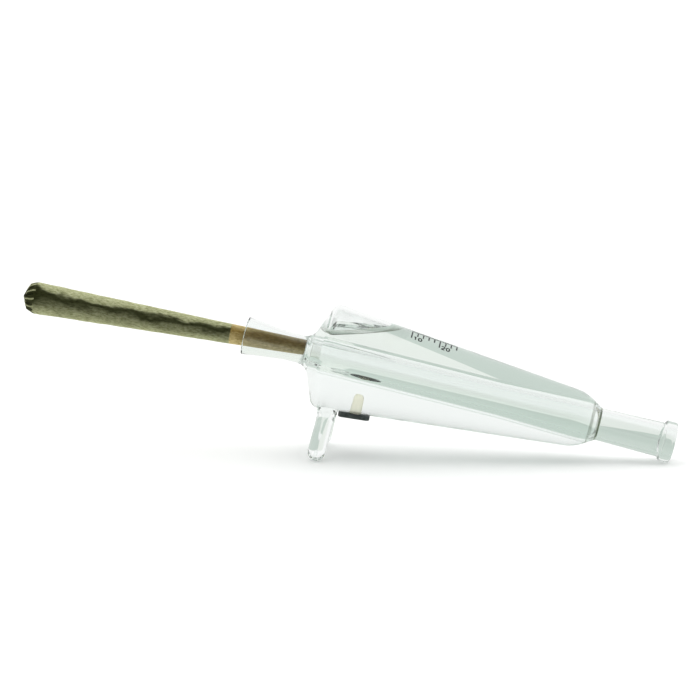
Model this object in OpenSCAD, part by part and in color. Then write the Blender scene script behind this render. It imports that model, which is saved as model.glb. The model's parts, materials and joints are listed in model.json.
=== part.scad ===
// Cooling-jacket glass pipe that holds a rolled paper cone.
//
// Lampworked glass: a flared socket, a tube that runs through a conical water
// jacket, and a beaded mouthpiece, all on one axis, with two splayed rod feet.
// Water fills the jacket up to an air space at its shoulder, a soft stopper closes
// the fill hole below, and a rolled cone with a card tip is pushed into the socket.
//
// Every profile is a list of [z, r] points: z runs along the glass axis from the
// socket rim to the mouthpiece, r is the radius. The finished glass is laid over
// so that it rests on its two feet and on the lip of its mouthpiece.

/* [Socket] */
// Outer diameter of the socket at its rim
socket_rim_d = 13.2; // [11.6:0.1:16]
// Length of the flared part of the socket
socket_flare_len = 15; // [12:0.5:17]
// Distance from the socket rim to the foot of the jacket's shoulder
neck_len = 22.9; // [21:0.1:30]
// Bore left at the pinch where the tip of the rolled cone stops
pinch_d = 6; // [4:0.1:7]

/* [Smoke tube] */
// Outer diameter of the tube inside the jacket
tube_d = 9.8; // [9.4:0.1:13]
// Wall of the socket and of the tube
tube_wall = 1.1; // [0.8:0.05:1.4]
// Length over which the tube widens before the mouthpiece
tube_widening_len = 31; // [20:1:45]

/* [Mouthpiece] */
// Distance from the end of the jacket to the end of the lip
mouth_len = 26.5; // [20:0.5:45]
// Outer diameter of the mouthpiece where the jacket ends
mouth_root_d = 11.2; // [10.8:0.1:13]
// Outer diameter of the mouthpiece where the lip begins
mouth_end_d = 12; // [11.4:0.1:15]
// Diameter of the straight bore through the mouthpiece
mouth_bore_d = 9.2; // [8:0.1:9.6]
// Outer diameter of the lip
lip_d = 14; // [13:0.1:18]
// Width of the lip
lip_w = 4.4; // [3:0.1:6]
// Rounding of the lip's edges
lip_round = 0.95; // [0.3:0.05:1.1]

/* [Jacket] */
// Diameter of the jacket at its shoulder, before rounding
jacket_d = 36.9; // [32:0.1:45]
// Length of the jacket's cone, from shoulder to tail corner
jacket_len = 90.9; // [70:0.1:120]
// Diameter of the jacket at its tail corner, before rounding
jacket_tail_d = 19.4; // [17:0.1:24]
// Wall of the jacket
jacket_wall = 1.2; // [0.9:0.05:1.6]
// Lean of the shoulder away from square to the axis
shoulder_lean = 21; // [12:1:35]
// Slope of the tail where it closes on the mouthpiece
tail_slope = 32; // [26:1:45]
// Rounding of the shoulder's outer corner
shoulder_round = 2.3; // [1.8:0.1:4]
// Rounding of the tail corner
tail_round = 15; // [8:1:18]
// Rounding of the flare from the neck into the shoulder
flare_round = 4.6; // [3:0.1:6]

/* [Water] */
// Depth of the air space over the water, from the chamber's highest point down
air_depth = 6.8; // [4:0.1:9]

/* [Feet] */
// Diameter of the glass rod of a foot
foot_d = 6.1; // [5:0.1:7.6]
// Length of a foot along its axis, below the jacket
foot_len = 19.7; // [16:0.1:26]
// Distance of the feet from the jacket's shoulder corner, along the axis
foot_set = 5.9; // [5.3:0.1:12]
// Angle of each foot from the middle plane
foot_splay = 37; // [15:1:38]
// How far the weld round a foot stands out from the rod
weld_lip = 0.45; // [0.2:0.05:0.6]

/* [Stopper] */
// Diameter of the plug where it leaves the hole
plug_d = 4.4; // [3.6:0.1:5.4]
// Diameter of the plug at its inner end
plug_tip_d = 3.4; // [2:0.1:3.5]
// Length of the plug inside the jacket's outer surface
plug_len = 9.4; // [5:0.1:11]
// Diameter of the pull disc outside the jacket
disc_d = 11; // [7:0.1:14]
// Thickness of the pull disc
disc_t = 1.6; // [1:0.1:2.4]
// Radius to which the soft disc is bent by the jacket
disc_bend_r = 18; // [17.5:0.5:60]

/* [Rolled cone] */
// Overall length of the rolled cone
cone_len = 100; // [80:0.1:115]
// Outer diameter at the card tip's end
cone_tip_d = 5.3; // [4.2:0.1:6]
// Outer diameter at the folded end
cone_big_d = 11.2; // [9:0.1:14]
// Length of the rolled card tip
card_len = 26.8; // [20:0.1:32]
// Wall of the rolled card
card_wall = 0.8; // [0.5:0.05:1]
// Thickness of the paper wrap
paper_t = 0.14; // [0.1:0.01:0.25]
// Length of the paper folded over the end as a dome
fold_len = 4.6; // [3:0.1:8]
// Angle by which the cone hangs below the glass axis
cone_droop = 3.7; // [0:0.1:4.6]
// Width of the glued overlap along the paper
gum_w = 2.2; // [1:0.1:4]

/* [Clearances] */
// Radial gap of the plug in the fill hole
plug_gap = 0.06; // [0.02:0.01:0.2]
// Gap between the plug and the solid that stands for the water
plug_water_gap = 0.3; // [0.1:0.05:0.5]
// Gap between the pull disc and the jacket
disc_gap = 0.15; // [0.1:0.05:0.5]
// Gap between the pull disc's edge and the welds of the feet, along the axis
disc_foot_gap = 0.1; // [0:0.1:20]
// Gap between the welds of the two feet, at the middle plane
foot_weld_gap = 0.04; // [0.02:0.01:4]
// Gap between the cone's card tip and the socket's bore
seat_gap = 0.12; // [0.1:0.05:0.4]
// Gap between the folded card and the inside of the rolled card
fold_gap = 0.05; // [0.02:0.01:0.2]

/* [Hidden] */

$fn = 96;
arc_steps = 8;      // straight steps in each rounded corner of a profile
past = 1;           // how far a cutting tool runs past what it cuts

glass_tint = [0.86, 0.91, 0.88, 0.45];
weld_tint = [0.76, 0.83, 0.79, 0.6];

// ---- lines and corners of a profile -------------------------------------

function unit(v) = v / norm(v);
function wedge(u, v) = u[0] * v[1] - u[1] * v[0];

// Where the line through p along u meets the line through q along v
function meet(p, u, q, v) = p + u * wedge(q - p, v) / wedge(u, v);

// The corner a-b-c rounded to radius r, as points from the a side to the c side
function rounded(a, b, c, r) =
    let (u = unit(a - b), v = unit(c - b), half = acos(u * v) / 2,
         hub = b + unit(u + v) * r / sin(half),
         first = b + u * r / tan(half) - hub,
         last = b + v * r / tan(half) - hub,
         start = atan2(first[1], first[0]),
         turn = atan2(wedge(first, last), first * last))
    [for (i = [0 : arc_steps]) hub + r * [cos(start + turn * i / arc_steps),
                                          sin(start + turn * i / arc_steps)]];

// Length of straight line that a rounded corner takes up on each side
function corner_reach(turn, r) = r * tan(turn / 2);

// ---- glass along the axis ------------------------------------------------

tube_r = tube_d / 2;
bore_r = tube_r - tube_wall;
socket_r = socket_rim_d / 2;
mouth_bore_r = mouth_bore_d / 2;
mouth_root_r = mouth_root_d / 2;
mouth_end_r = mouth_end_d / 2;
lip_r = lip_d / 2;
jacket_r = jacket_d / 2;
jacket_tail_r = jacket_tail_d / 2;

// Directions of the three straight stretches of the jacket, seen in [z, r]
shoulder_dir = [sin(shoulder_lean), cos(shoulder_lean)];
cone_dir = unit([jacket_len, jacket_tail_r - jacket_r]);
tail_dir = [cos(tail_slope), -sin(tail_slope)];

// Corners of the jacket's outside, in order from the neck to the mouthpiece
neck_corner = [neck_len, tube_r];
shoulder_corner = neck_corner + shoulder_dir * (jacket_r - tube_r) / shoulder_dir[1];
tail_corner = shoulder_corner + [jacket_len, jacket_tail_r - jacket_r];
mouth_corner = tail_corner + tail_dir * (mouth_root_r - jacket_tail_r) / tail_dir[1];

glass_end_z = mouth_corner[0] + mouth_len;
lip_z = glass_end_z - lip_w;
mouth_dir = unit([lip_z, mouth_end_r] - mouth_corner);

// The same corners on the chamber side of the wall
function inward(dir) = [dir[1], -dir[0]];
shoulder_in = neck_corner + inward(shoulder_dir) * jacket_wall;
cone_in = shoulder_corner + inward(cone_dir) * jacket_wall;
tail_in = tail_corner + inward(tail_dir) * jacket_wall;
chamber_shoulder = meet(shoulder_in, shoulder_dir, cone_in, cone_dir);
chamber_tail = meet(cone_in, cone_dir, tail_in, tail_dir);

// Smoke tube: where it starts to widen, and its slope up to the mouthpiece
tube_out_end = [mouth_corner[0] - 4, mouth_root_r];
tube_widens_z = tube_out_end[0] - tube_widening_len;
widening_dir = unit(tube_out_end - [tube_widens_z, tube_r]);
chamber_front = meet(shoulder_in, shoulder_dir, [0, tube_r], [1, 0]);
chamber_back = meet(tail_in, tail_dir, tube_out_end, widening_dir);

// Welds: how far each reaches up the jacket's wall and along the tube
front_weld_round = 1.5;
tail_weld_round = 0.45;
tail_crease_round = 2;
front_weld_r = tube_r + 4.4;
front_cut = meet(neck_corner, shoulder_dir, [0, front_weld_r], [1, 0]);
socket_cut_z = neck_len - corner_reach(90 - shoulder_lean, flare_round);
front_end_z = chamber_front[0] + corner_reach(90 + shoulder_lean, front_weld_round);
tail_reach = corner_reach(180 - tail_slope, tail_weld_round) + 0.6;
tail_start_z = chamber_back[0] - tail_reach;
tail_cut_in = chamber_back - tail_dir * tail_reach;
tail_cut = tail_cut_in - inward(tail_dir) * jacket_wall;
tail_end_z = mouth_corner[0] + 1;

// Radius of a straight stretch a-b at distance z along the axis
function radius_at(z, a, b) = a[1] + (b[1] - a[1]) * (z - a[0]) / (b[0] - a[0]);

tube_out_start = [tube_widens_z, tube_r];
bore_widens = [tube_widens_z, bore_r];
bore_straight = [tube_out_end[0], mouth_bore_r];

jacket_outline = concat(
    rounded(neck_corner, shoulder_corner, tail_corner, shoulder_round),
    rounded(shoulder_corner, tail_corner, mouth_corner, tail_round));

// The chamber's outline, in four runs: the weld at the front, the tube, the weld at
// the tail, and the jacket's wall back to the front
front_wall_in = front_cut + inward(shoulder_dir) * jacket_wall;
tube_front = [front_end_z, tube_r];
tube_tail = [tail_start_z, radius_at(tail_start_z, tube_out_start, tube_out_end)];
tube_tail_in = [tail_start_z, radius_at(tail_start_z, bore_widens, bore_straight)];
front_fillet = rounded(front_wall_in, chamber_front, tube_front, front_weld_round);
tail_fillet = rounded(tube_tail, chamber_back, tail_cut_in, tail_weld_round);
chamber_tail_round = rounded(tail_cut_in, chamber_tail, chamber_shoulder,
                             tail_round - jacket_wall);
chamber_shoulder_round = rounded(chamber_tail, chamber_shoulder, front_wall_in,
                                 shoulder_round - jacket_wall);

// ---- feet, rest and the frame ---------------------------------------------

foot_r = foot_d / 2;
foot_weld_r = foot_r + weld_lip;
foot_z = shoulder_corner[0] + foot_set;
foot_root_r = radius_at(foot_z, shoulder_corner, tail_corner);
foot_root_y = foot_weld_r / cos(foot_splay) + foot_weld_gap / 2;
foot_root_x = sqrt(foot_root_r * foot_root_r - foot_root_y * foot_root_y);
foot_ball = foot_len - foot_r;      // root to the centre of the rounded end

// The table touches the rounded ends of the feet and the rounded edge of the lip:
// a common tangent to two circles in the middle plane, [z, down] with their radii
feet_at = [foot_z, foot_root_x + foot_ball * cos(foot_splay)];
lip_at = [glass_end_z - lip_round, lip_r - lip_round];
rest_span = lip_at - feet_at;
rest_tilt = atan2(-rest_span[1], rest_span[0])
          - asin((lip_round - foot_r) / norm(rest_span));
rest_height = feet_at[0] * sin(rest_tilt) + feet_at[1] * cos(rest_tilt) + foot_r;

// Water: its level above the table, from the chamber's highest point
chamber_top = max([for (p = chamber_shoulder_round)
    rest_height - p[0] * sin(rest_tilt) + p[1] * cos(rest_tilt)]);
water_level = chamber_top - air_depth;

// Fill hole: its distance from the rim, the radius of the jacket there, and the
// slope of the cone's wall
stopper_z = foot_z + foot_weld_r + disc_foot_gap + disc_d / 2;
hole_r = radius_at(stopper_z, shoulder_corner, tail_corner);
plug_in = min(plug_len, hole_r - tube_d / 2 - 1.5);
cone_slope = atan2(jacket_r - jacket_tail_r, jacket_len);

// ---- rolled cone ------------------------------------------------------------

cone_tip_r = cone_tip_d / 2;
cone_big_r = cone_big_d / 2;
body_len = cone_len - fold_len;     // straight part of the wrap
pinch_r = pinch_d / 2;
pinch_reach = 1.9;                  // half the length of the pinch in the bore
pinch_z = neck_len + 1;
// The card tip ends where the pinch starts, high in the bore against its top
cone_seat_z = pinch_z - pinch_reach - seat_gap;
cone_seat_up = bore_r - cone_tip_r - seat_gap;

// Radius of the rolled cone's paper at distance h from its card end
function cone_r(h) = cone_tip_r + (cone_big_r - cone_tip_r) * h / body_len;

cone_far = [cone_seat_z - cone_len * cos(cone_droop),
            cone_len * sin(cone_droop) - cone_seat_up];

// Middle of the object along the table, between the cone's end and the lip
function along_table(p) = p[0] * cos(rest_tilt) - p[1] * sin(rest_tilt);
table_left = along_table(cone_far);
table_right = along_table([lip_at[0], -lip_at[1]]) + lip_round;
mid_x = (table_left + table_right) / 2;

// ---- placing modules ----------------------------------------------------------

// Lays a part built along +z, with +x down, into the rest pose on the table
module at_rest() {
    translate([-mid_x, 0, rest_height])
        rotate([0, rest_tilt, 0])
            rotate([0, 90, 0])
                children();
}

// A body of revolution round the glass axis from a closed list of [z, r] points
module turned(profile) {
    rotate_extrude()
        polygon([for (p = profile) [p[1], p[0]]]);
}

// A foot's own frame: +z out along the foot, origin at its root on the jacket
module on_foot(side) {
    translate([foot_root_x, side * foot_root_y, foot_z])
        rotate([0, 0, side * foot_splay])
            rotate([0, 90, 0])
                children();
}

// The rolled cone's frame: +z from its card end out to its folded end
module on_cone() {
    at_rest()
        translate([-cone_seat_up, 0, cone_seat_z])
            rotate([0, 180 - cone_droop, 0])
                children();
}

// The stopper's frame: +z out of the fill hole, square to the jacket's wall, with
// its origin on the jacket's outer surface
module on_stopper() {
    at_rest()
        translate([hole_r, 0, stopper_z])
            rotate([0, 90 - cone_slope, 0])
                children();
}

// The fill hole's frame: +z out along the hole, which stands square to the glass axis
module on_hole() {
    at_rest()
        translate([hole_r, 0, stopper_z])
            rotate([0, 90, 0])
                children();
}

// The jacket filled solid, for seating the feet on its outside
module jacket_envelope() {
    turned(concat([[front_cut[0], 0], front_cut], jacket_outline,
                  [tail_cut, [tail_cut[0], 0]]));
}

// ---- glass pieces -----------------------------------------------------------------

module cone_socket() {
    rim_out = [0, socket_r];
    rim_in = [0, socket_r - tube_wall];
    throat_out = [socket_flare_len, tube_r];
    throat_in = [socket_flare_len, bore_r];
    cut_out = [socket_cut_z, tube_r];
    cut_in = [socket_cut_z, bore_r];
    rim_round = tube_wall * 0.4;
    throat_round = 24;
    color(glass_tint)
    at_rest()
    turned(concat(
        rounded(rim_in, rim_out, throat_out, rim_round),
        rounded(rim_out, throat_out, cut_out, throat_round),
        [cut_out, cut_in],
        rounded(cut_in, throat_in, rim_in, throat_round),
        rounded(throat_in, rim_in, rim_out, rim_round)));
}

module front_ring_seal() {
    cut_in = [socket_cut_z, bore_r];
    end_in = [front_end_z, bore_r];
    pinch_front = [pinch_z - pinch_reach, bore_r];
    pinch_mid = [pinch_z, pinch_r];
    pinch_back = [pinch_z + pinch_reach, bore_r];
    pinch_round = 0.9;
    color(weld_tint)
    at_rest()
    turned(concat(
        rounded([0, tube_r], neck_corner, shoulder_corner, flare_round),
        [front_cut, front_wall_in],
        front_fillet,
        [tube_front, end_in],
        rounded(end_in, pinch_back, pinch_mid, pinch_round),
        rounded(pinch_back, pinch_mid, pinch_front, pinch_round),
        rounded(pinch_mid, pinch_front, cut_in, pinch_round),
        [cut_in]));
}

module jacket_shell() {
    color(glass_tint)
    difference() {
        at_rest()
        turned(concat(
            [front_cut], jacket_outline, [tail_cut, tail_cut_in],
            chamber_tail_round, chamber_shoulder_round, [front_wall_in]));
        on_hole()
            translate([0, 0, -2 * jacket_wall])
                cylinder(r = plug_d / 2 + plug_gap, h = 4 * jacket_wall);
    }
}

module smoke_tube() {
    color(glass_tint)
    at_rest()
    turned([tube_front, tube_out_start, tube_tail,
            tube_tail_in, bore_widens, [front_end_z, bore_r]]);
}

module tail_ring_seal() {
    end_out = mouth_corner + mouth_dir * (tail_end_z - mouth_corner[0]) / mouth_dir[0];
    color(weld_tint)
    at_rest()
    turned(concat(
        [tail_cut_in, tail_cut],
        rounded(tail_cut, mouth_corner, end_out, tail_crease_round),
        [end_out, [tail_end_z, mouth_bore_r], bore_straight, tube_tail_in, tube_tail],
        tail_fillet));
}

module mouth_tube() {
    start_out = mouth_corner + mouth_dir * (tail_end_z - mouth_corner[0]) / mouth_dir[0];
    color(glass_tint)
    at_rest()
    turned([start_out, [lip_z, mouth_end_r], [lip_z, mouth_bore_r],
            [tail_end_z, mouth_bore_r]]);
}

module mouth_lip() {
    root_in = [lip_z, mouth_bore_r];
    root_out = [lip_z, lip_r];
    end_out = [glass_end_z, lip_r];
    end_in = [glass_end_z, mouth_bore_r];
    bore_round = lip_round / 2;
    color(weld_tint)
    at_rest()
    turned(concat(
        [root_in],
        rounded(root_in, root_out, end_out, lip_round),
        rounded(root_out, end_out, end_in, lip_round),
        rounded(end_out, end_in, root_in, bore_round)));
}

module foot(side) {
    color(glass_tint)
    at_rest()
    difference() {
        on_foot(side) {
            translate([0, 0, -foot_d])
                cylinder(r = foot_r, h = foot_d + foot_ball);
            translate([0, 0, foot_ball])
                sphere(r = foot_r);
        }
        jacket_envelope();
    }
}

module foot_weld(side) {
    weld_len = 1.9;
    color(weld_tint)
    at_rest()
    difference() {
        on_foot(side)
            rotate_extrude()
                polygon(concat(
                    [[foot_r, -foot_d], [foot_weld_r, -foot_d], [foot_weld_r, weld_len / 2]],
                    [[foot_r + weld_lip / 3, weld_len], [foot_r, weld_len * 1.4]]));
        jacket_envelope();
    }
}

module left_foot() foot(-1);
module right_foot() foot(1);
module left_foot_weld() foot_weld(-1);
module right_foot_weld() foot_weld(1);

// ---- water -------------------------------------------------------------------------

// The water that fills the jacket, flat on top at rest, clear of the plug
module jacket_water() {
    air_box = 2 * (jacket_len + neck_len + mouth_len);
    color([0.90, 0.95, 0.93, 0.4])
    difference() {
        at_rest()
        turned(concat(front_fillet, [tube_out_start], tail_fillet,
                      chamber_tail_round, chamber_shoulder_round));
        translate([0, 0, water_level + air_box / 2])
            cube(air_box, center = true);
        on_hole()
            translate([0, 0, -plug_in - plug_water_gap])
                cylinder(r = plug_d / 2 + plug_water_gap, h = plug_in + jacket_wall);
    }
}

// ---- stopper -------------------------------------------------------------------------

// How far the bent disc falls away from flat at distance y from its middle
function bend_drop(y) = disc_bend_r - sqrt(disc_bend_r * disc_bend_r - y * y);

module stopper_plug() {
    tip_round = 1;
    color("beige")
    intersection() {
        on_hole()
        rotate_extrude()
            polygon([for (p = concat(
                [[-plug_in, 0]],
                rounded([-plug_in, 0], [-plug_in, plug_tip_d / 2], [0, plug_d / 2], tip_round),
                [[0, plug_d / 2], [disc_t, plug_d / 2], [disc_t, 0]]))
                [p[1], p[0]]]);
        on_stopper()
        translate([0, 0, disc_gap - disc_bend_r])
            rotate([0, 90, 0])
                cylinder(r = disc_bend_r, h = 2 * disc_d, center = true);
    }
}

module stopper_disc() {
    drop = bend_drop(disc_d / 2);
    color("dimgray")
    on_stopper()
    intersection() {
        translate([0, 0, disc_gap - drop - past])
            cylinder(r = disc_d / 2, h = disc_t + drop + 2 * past);
        translate([0, 0, disc_gap - disc_bend_r])
            rotate([0, 90, 0])
                difference() {
                    cylinder(r = disc_bend_r + disc_t, h = 2 * disc_d, center = true);
                    cylinder(r = disc_bend_r, h = 2 * disc_d + past, center = true);
                }
    }
}

// ---- rolled cone -------------------------------------------------------------------------

module card_tip() {
    color("peru")
    on_cone()
    rotate_extrude()
        polygon([[cone_r(0) - paper_t, 0],
                 [cone_r(card_len) - paper_t, card_len],
                 [cone_r(card_len) - paper_t - card_wall, card_len],
                 [cone_r(0) - paper_t - card_wall, 0]]);
}

// The first turns of the card, folded to and fro across the tip
module card_fold() {
    reach = cone_r(0) - paper_t - card_wall - fold_gap;
    strip_t = 0.3;
    folds = 4;
    bend = [for (i = [0 : folds])
        let (x = reach * 0.8 * (2 * i / folds - 1),
             y = (i % 2 == 0 ? -1 : 1) * (reach * 0.9 * cos(62 * (2 * i / folds - 1)) - strip_t / 2))
        [x, y]];
    color("burlywood")
    on_cone()
    linear_extrude(card_len)
        polygon(concat(
            [for (i = [0 : folds]) bend[i] + [0, strip_t / 2]],
            [for (i = [folds : -1 : 0]) bend[i] - [0, strip_t / 2]]));
}

module paper_wrap() {
    color([0.72, 0.70, 0.52])
    on_cone()
    rotate_extrude()
        polygon([[cone_r(0), 0],
                 [cone_big_r, body_len],
                 [cone_big_r - paper_t, body_len],
                 [cone_r(0) - paper_t, 0]]);
}

module gum_seam() {
    seam_deg = 2 * asin(gum_w / 2 / cone_big_r);
    seam_turn = 118;
    color([0.66, 0.64, 0.46])
    on_cone()
    rotate([0, 0, seam_turn])
    rotate_extrude(angle = seam_deg)
        polygon([[cone_r(card_len), card_len],
                 [cone_r(card_len) + paper_t, card_len],
                 [cone_big_r + paper_t, body_len],
                 [cone_big_r, body_len]]);
}

module herb_fill() {
    color("darkolivegreen")
    on_cone()
    translate([0, 0, card_len])
        cylinder(r1 = cone_r(card_len) - paper_t, r2 = cone_big_r - paper_t,
                 h = body_len - card_len);
}

module folded_end() {
    dome_steps = 2 * arc_steps;
    color([0.60, 0.60, 0.42])
    on_cone()
    translate([0, 0, body_len])
    rotate_extrude()
        polygon(concat(
            [[0, 0]],
            [for (i = [0 : dome_steps])
                let (a = 90 * i / dome_steps)
                [cone_big_r * cos(a), fold_len * sin(a)]]));
}

// ---- all nodes -----------------------------------------------------------------------------

cone_socket();
front_ring_seal();
jacket_shell();
smoke_tube();
tail_ring_seal();
mouth_tube();
mouth_lip();
left_foot();
right_foot();
left_foot_weld();
right_foot_weld();
jacket_water();
stopper_plug();
stopper_disc();
card_tip();
card_fold();
paper_wrap();
gum_seam();
herb_fill();
folded_end();
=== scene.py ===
import json

import bmesh
import bpy
import numpy as np
from mathutils import Matrix, Vector


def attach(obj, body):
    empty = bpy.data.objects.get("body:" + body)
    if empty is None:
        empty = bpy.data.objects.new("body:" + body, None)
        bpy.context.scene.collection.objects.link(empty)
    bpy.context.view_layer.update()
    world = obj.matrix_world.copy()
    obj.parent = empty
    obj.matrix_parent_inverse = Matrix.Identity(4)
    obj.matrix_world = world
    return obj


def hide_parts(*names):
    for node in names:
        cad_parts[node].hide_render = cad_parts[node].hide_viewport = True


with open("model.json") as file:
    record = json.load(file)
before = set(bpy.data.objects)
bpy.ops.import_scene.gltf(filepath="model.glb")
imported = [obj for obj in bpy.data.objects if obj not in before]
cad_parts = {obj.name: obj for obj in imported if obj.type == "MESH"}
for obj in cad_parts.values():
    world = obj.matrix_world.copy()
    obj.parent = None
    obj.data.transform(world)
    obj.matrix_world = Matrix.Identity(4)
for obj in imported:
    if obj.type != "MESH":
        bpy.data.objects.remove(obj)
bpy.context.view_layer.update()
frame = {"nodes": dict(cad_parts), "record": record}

# ---- the studio ---------------------------------------------------------------
# A white table top under a room that is white behind the object, a broad soft light above,
# and a darker room on the camera's side, which draws the edges of the glass.

TABLE_HALF = 40.0          # metres from the object to the edge of the table top
VIEW_AZIMUTH = 3.664       # degrees round the object
VIEW_ELEVATION = 8.958     # degrees above the table
VIEW_ROLL = 0.818          # degrees
VIEW_DISTANCE = 0.8206     # metres
FOCAL_LENGTH = 122.43      # millimetres on the 36 mm sensor
LOOK_AT = (0.00021, 0.0, 0.0362)


def linear(code):
    """sRGB hex to linear: c / 12.92 below 0.04045, else ((c + 0.055) / 1.055) ** 2.4."""
    parts = [int(code[i:i + 2], 16) / 255 for i in (1, 3, 5)]
    return tuple(c / 12.92 if c <= 0.04045 else ((c + 0.055) / 1.055) ** 2.4 for c in parts) + (1.0,)


def add(tree, kind, links=(), **settings):
    """Adds a shader node. Settings are its properties, or its input sockets by name with _ for a space;
    links pairs an input's name or number with the output socket that feeds it."""
    node = tree.nodes.new(kind)
    for name, value in settings.items():
        if hasattr(node, name):
            setattr(node, name, value)
        else:
            node.inputs[name.replace("_", " ")].default_value = value
    for name, source in links:
        tree.links.new(source, node.inputs[name])
    return node


scene = bpy.context.scene
scene.view_settings.view_transform = "Standard"
scene.cycles.max_bounces = 32
scene.cycles.transmission_bounces = 32
scene.cycles.glossy_bounces = 32
scene.cycles.transparent_max_bounces = 32

azimuth, elevation, roll = np.radians([VIEW_AZIMUTH, VIEW_ELEVATION, VIEW_ROLL])
forward = Vector((-np.sin(azimuth) * np.cos(elevation), np.cos(azimuth) * np.cos(elevation),
                  -np.sin(elevation)))
level_right = Vector((np.cos(azimuth), np.sin(azimuth), 0))
right = level_right * np.cos(roll) + level_right.cross(forward) * np.sin(roll)
above = right.cross(forward)
camera = bpy.data.objects.new("camera", bpy.data.cameras.new("camera"))
camera.data.lens = FOCAL_LENGTH
camera.data.clip_start = 0.01
camera.matrix_world = Matrix.Translation(Vector(LOOK_AT) - VIEW_DISTANCE * forward) @ Matrix(
    (right, above, -forward)).transposed().to_4x4()
scene.collection.objects.link(camera)
scene.camera = camera

# matt white sheet: plain, a little off white, so that it stays a surface
sheet_white = bpy.data.materials.new("matt white studio sheet")
sheet_white.use_nodes = True
sheet_white.node_tree.nodes["Principled BSDF"].inputs["Base Color"].default_value = linear("#f7f8f7")
sheet_white.node_tree.nodes["Principled BSDF"].inputs["Roughness"].default_value = 0.9
sheet_white.node_tree.nodes["Principled BSDF"].inputs["Specular IOR Level"].default_value = 0.0

# glowing grey sheets of painted shade, not lamps, that draw the edges of the glass: they show in the glass
# and not beside it.
# The pale one is a faint painted shadow under the object, and fades to white away from the object.
shade_sheet_beside = bpy.data.materials.new("glowing painted shade beside the object")
shade_sheet_beside.use_nodes = True
glow = add(shade_sheet_beside.node_tree, "ShaderNodeEmission", Color=linear("#cbd6cf"))
shade_sheet_beside.node_tree.links.new(glow.outputs[0], shade_sheet_beside.node_tree.nodes["Material Output"].inputs["Surface"])
shadow_sheet_under = bpy.data.materials.new("glowing painted shadow under the object")
shadow_sheet_under.use_nodes = True
tree = shadow_sheet_under.node_tree
place = add(tree, "ShaderNodeTexCoord")
ways = add(tree, "ShaderNodeSeparateXYZ", [(0, place.outputs["Object"])])
aside = add(tree, "ShaderNodeMath", [(0, ways.outputs["Y"])], operation="ABSOLUTE")
fade = add(tree, "ShaderNodeMapRange", [("Value", aside.outputs[0])], From_Min=0.05, From_Max=0.30)
tone = add(tree, "ShaderNodeMixRGB", [("Fac", fade.outputs[0])],
           Color1=linear("#f0f4ef"), Color2=linear("#fbfcfb"))
glow = add(tree, "ShaderNodeEmission", [("Color", tone.outputs[0])])
tree.links.new(glow.outputs[0], tree.nodes["Material Output"].inputs["Surface"])


def level_sheet(name, stuff, x, y, height):
    """A rectangle from x[0] to x[1] and from y[0] to y[1], level at that height."""
    mesh = bpy.data.meshes.new(name)
    mesh.from_pydata([(x[0], y[0], height), (x[1], y[0], height), (x[1], y[1], height), (x[0], y[1], height)],
                     [], [(0, 1, 2, 3)])
    mesh.materials.append(stuff)
    ob = bpy.data.objects.new(name, mesh)
    scene.collection.objects.link(ob)
    return ob


table_top = level_sheet("table_top", sheet_white, (-TABLE_HALF, TABLE_HALF), (-TABLE_HALF, TABLE_HALF), 0.0)
table_top.visible_glossy = False
table_top.visible_transmission = False
for card in (level_sheet("painted_shade_card", shade_sheet_beside, (-0.012, 0.3), (-0.06, 0.061), -0.0001),
             level_sheet("painted_shadow_card", shadow_sheet_under, (-0.5, 0.5), (-0.4, 0.4), -0.0002)):
    card.visible_camera = False
    card.visible_diffuse = False
    card.visible_shadow = False

# the room: white behind the object, a little greyer overhead, dark on the camera's side
room = bpy.data.worlds.new("room")
room.use_nodes = True
scene.world = room
look = add(room.node_tree, "ShaderNodeTexCoord")
ways = add(room.node_tree, "ShaderNodeSeparateXYZ", [(0, look.outputs["Generated"])])
depth = add(room.node_tree, "ShaderNodeMapRange", [("Value", ways.outputs["Y"])],
            interpolation_type="SMOOTHSTEP", From_Min=-0.6, From_Max=0.1, To_Min=0.22, To_Max=1.02)
height = add(room.node_tree, "ShaderNodeMapRange", [("Value", ways.outputs["Z"])],
             interpolation_type="SMOOTHSTEP", From_Min=0.15, From_Max=0.8, To_Min=1.0, To_Max=0.9)
level = add(room.node_tree, "ShaderNodeMath", [(0, depth.outputs[0]), (1, height.outputs[0])],
            operation="MULTIPLY")
room.node_tree.links.new(level.outputs[0], room.node_tree.nodes["Background"].inputs["Color"])

# one very broad light from above and behind
top_light = bpy.data.lights.new("top_light", "SUN")
top_light.energy = 1.9
top_light.angle = np.radians(100)
top_lamp = bpy.data.objects.new("top_light", top_light)
top_lamp.rotation_euler = (np.radians(-25), 0, 0)
top_lamp.visible_transmission = False
top_lamp.visible_glossy = False
scene.collection.objects.link(top_lamp)

# ---- the glass ------------------------------------------------------------------
# Borosilicate glass, blown and joined in the flame: socket, jacket, smoke tube, mouthpiece
# and the two rod feet are one piece, with thick rounded welds where they meet. All of it but
# the feet is turned about one axis, whose place comes from the bore of the mouthpiece.

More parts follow.
